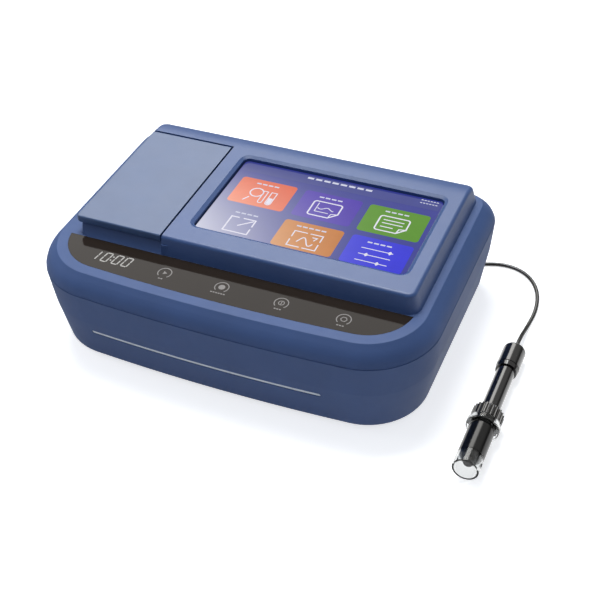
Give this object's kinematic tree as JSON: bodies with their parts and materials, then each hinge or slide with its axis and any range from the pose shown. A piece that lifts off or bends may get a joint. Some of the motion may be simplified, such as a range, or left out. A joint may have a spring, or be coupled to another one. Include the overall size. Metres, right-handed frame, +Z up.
{
  "type": "multi-parameter water quality analyzer",
  "caption": "Bench water analyzer with a touch screen, a flip-up lid over a tube well and a cuvette slot, touch keys, a front light bar and a corded probe.",
  "frame": {"origin": "on the bench plane, below the middle of the casing and probe together", "axes": "+X to the right along the casing's width, +Y to its rear, +Z up"},
  "size_m": [0.3469, 0.2806, 0.0935],
  "materials": {
    "shell_plastic": "satin",
    "lid_plastic": "satin",
    "diffuser": "satin",
    "board": "satin",
    "steel": "satin",
    "rubber": "matte",
    "foam": "matte",
    "screen_glass": "polished",
    "strip_glass": "polished",
    "display": "satin",
    "black_plastic": "satin",
    "black_metal": "anodised",
    "lens_glass": "polished",
    "probe_plastic": "polished",
    "clear_plastic": "polished",
    "cable_rubber": "satin",
    "sensor_tip": "polished"
  },
  "bodies": {
    "base": {"lower_shell": "shell_plastic", "upper_shell": "shell_plastic", "light_bar": "diffuser", "light_bar_board": "board", "case_screws": "steel", "rubber_feet": "rubber", "lid_hinge_pin": "steel", "touch_glass": "screen_glass", "glass_gasket": "rubber", "display_module": "display", "display_bracket": "steel", "key_strip": "strip_glass", "key_board": "board", "chamber_plate": "black_plastic", "tube_holder": "black_metal", "cuvette_holder": "black_metal", "optical_bench": "black_metal", "lamp_board": "board", "detector_board": "board", "beam_lenses": "lens_glass", "main_board": "board", "io_board": "board", "board_standoffs": "steel", "board_screws": "steel", "rear_panel": "black_plastic", "panel_screws": "steel", "switch_frame": "black_plastic", "power_jack": "black_plastic", "data_port": "steel", "probe_socket": "steel", "probe_plug": "black_plastic", "plug_boot": "rubber", "cable_coil": "cable_rubber", "cable_lead": "cable_rubber", "cable_tail": "cable_rubber", "probe_cap": "probe_plastic", "probe_barrel": "probe_plastic", "probe_flange": "probe_plastic", "probe_head": "black_plastic", "guard_seal": "rubber", "probe_sensor": "sensor_tip"},
    "lid": {"sample_lid": "lid_plastic", "lid_seal": "foam"},
    "rocker": {"power_rocker": "black_plastic"},
    "nut": {"probe_nut": "probe_plastic"},
    "guard": {"probe_guard": "clear_plastic"}
  },
  "joints": [
    {"name": "lid_hinge", "type": "hinge", "parent": "base", "child": "lid", "pos_m": [-0.1176, 0.07204, 0.0915], "axis": [-1, 0, 0], "range_deg": [0, 90]},
    {"name": "power_switch", "type": "hinge", "parent": "base", "child": "rocker", "pos_m": [-0.0366, 0.09753, 0.031], "axis": [-1, 0, 0], "range_deg": [0, 16]},
    {"name": "nut_turn", "type": "hinge", "parent": "base", "child": "nut", "pos_m": [0.1618, -0.0558, 0.01137], "axis": [0, -0.9991, 0.0426], "continuous": true},
    {"name": "guard_slide", "type": "slide", "parent": "base", "child": "guard", "axis": [0, -0.9991, 0.0426], "range_m": [0, 0.03]}
  ]
}
